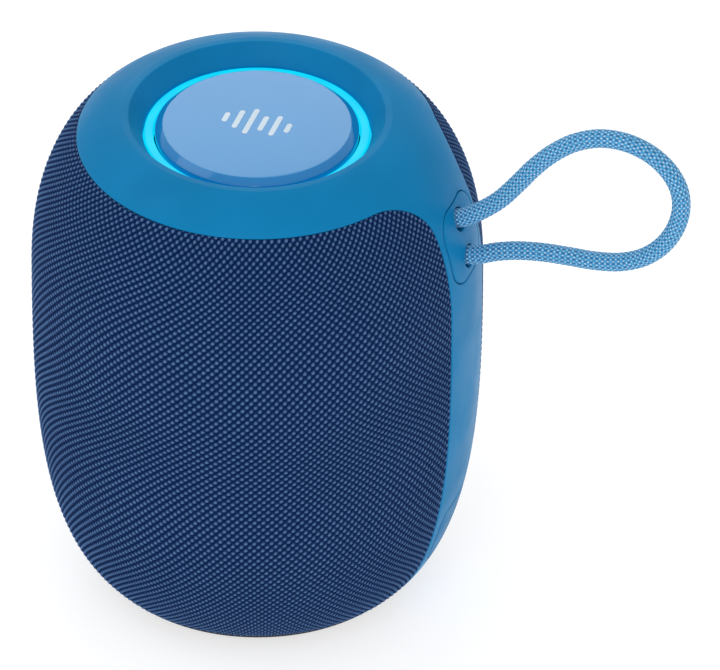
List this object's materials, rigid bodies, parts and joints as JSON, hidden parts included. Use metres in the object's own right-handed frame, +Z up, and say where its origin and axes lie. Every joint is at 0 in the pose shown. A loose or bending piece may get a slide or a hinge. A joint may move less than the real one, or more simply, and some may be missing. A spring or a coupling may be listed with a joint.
{
  "type": "portable speaker",
  "caption": "Barrel-shaped portable party speaker with a fabric body, a moulded top cap and spine, a lit ring round a domed passive radiator, and a braided rope loop.",
  "frame": {"origin": "centre of the foot's underside, on the surface the speaker stands on", "axes": "+Z up along the barrel's axis; +X through the spine and its rope; -Y is the front; +Y the control panel"},
  "size_m": [0.1412, 0.0944, 0.1245],
  "materials": {
    "moulded_blue": "fine satin, tinted through",
    "gloss_blue": "polished",
    "navy_fabric": "two-tone plain weave",
    "glow_ring": "translucent diffuser, lit from below",
    "rope": "braided, two-tone",
    "black_plastic": "fine texture",
    "rubber": "matt",
    "key_rubber": "matt, same blue as the spine",
    "steel": "plated",
    "dark_steel": "black zinc",
    "ferrite": "ground, dark grey",
    "copper": "enamelled winding",
    "cone_paper": "pressed pulp",
    "circuit_board": "solder mask",
    "battery_wrap": "shrink sleeve",
    "lead": "soft jacket"
  },
  "bodies": {
    "casing": {"top_cap": "moulded_blue", "lanyard_plate": "moulded_blue", "control_panel": "moulded_blue", "fabric_sleeve": "navy_fabric", "light_ring": "glow_ring", "lanyard_cord": "rope", "barrel": "black_plastic", "base_cover": "black_plastic", "sound_cone": "black_plastic", "radiator_frame": "black_plastic", "rope_clamp": "black_plastic", "driver_baffle": "black_plastic", "chassis_tray": "black_plastic", "foot_ring": "rubber", "radiator_surround": "rubber", "driver_surround": "rubber", "usb_socket": "steel", "card_socket": "steel", "driver_top_plate": "steel", "driver_yoke": "steel", "battery_strap": "steel", "driver_basket": "dark_steel", "base_screw_1": "dark_steel", "base_screw_2": "dark_steel", "base_screw_3": "dark_steel", "base_screw_4": "dark_steel", "radiator_screw_1": "dark_steel", "radiator_screw_2": "dark_steel", "radiator_screw_3": "dark_steel", "radiator_screw_4": "dark_steel", "driver_screw_1": "dark_steel", "driver_screw_2": "dark_steel", "driver_screw_3": "dark_steel", "driver_screw_4": "dark_steel", "tray_screw_1": "dark_steel", "tray_screw_2": "dark_steel", "tray_screw_3": "dark_steel", "tray_screw_4": "dark_steel", "clamp_screw": "dark_steel", "driver_magnet": "ferrite", "driver_spider": "cone_paper", "light_board": "circuit_board", "port_board": "circuit_board", "button_board": "circuit_board", "main_board": "circuit_board", "battery_cell": "battery_wrap", "battery_lead": "lead", "driver_lead": "lead", "port_lead": "lead", "button_lead": "lead"},
    "flap": {"port_flap": "key_rubber"},
    "power_key": {"power_button": "key_rubber"},
    "volume_down_key": {"volume_down_button": "key_rubber"},
    "volume_up_key": {"volume_up_button": "key_rubber"},
    "play_key": {"play_button": "key_rubber"},
    "radiator": {"radiator_cap": "gloss_blue", "radiator_weight": "steel"},
    "cone": {"driver_cone": "cone_paper", "voice_coil": "copper", "dust_cap": "cone_paper"}
  },
  "joints": [
    {"name": "flap_hinge", "type": "hinge", "parent": "casing", "child": "flap", "pos_m": [0.0396, 0, 0.0117], "axis": [0, 1, 0], "range_deg": [0, 100], "stiffness_Nm_per_rad": 0.0008},
    {"name": "power_press", "type": "slide", "parent": "casing", "child": "power_key", "axis": [0, -1, 0], "range_m": [0, 0.0005], "stiffness_N_per_m": 400},
    {"name": "volume_down_press", "type": "slide", "parent": "casing", "child": "volume_down_key", "axis": [0, -1, 0], "range_m": [0, 0.0005], "stiffness_N_per_m": 400},
    {"name": "volume_up_press", "type": "slide", "parent": "casing", "child": "volume_up_key", "axis": [0, -1, 0], "range_m": [0, 0.0005], "stiffness_N_per_m": 400},
    {"name": "play_press", "type": "slide", "parent": "casing", "child": "play_key", "axis": [0, -1, 0], "range_m": [0, 0.0005], "stiffness_N_per_m": 400},
    {"name": "radiator_travel", "type": "slide", "parent": "casing", "child": "radiator", "axis": [0, 0, 1], "range_m": [-0.001, 0.001], "stiffness_N_per_m": 1500, "deforming": ["radiator_surround"]},
    {"name": "cone_travel", "type": "slide", "parent": "casing", "child": "cone", "axis": [0, 0, 1], "range_m": [-0.0015, 0.0015], "stiffness_N_per_m": 1200, "deforming": ["driver_surround", "driver_spider"]}
  ]
}
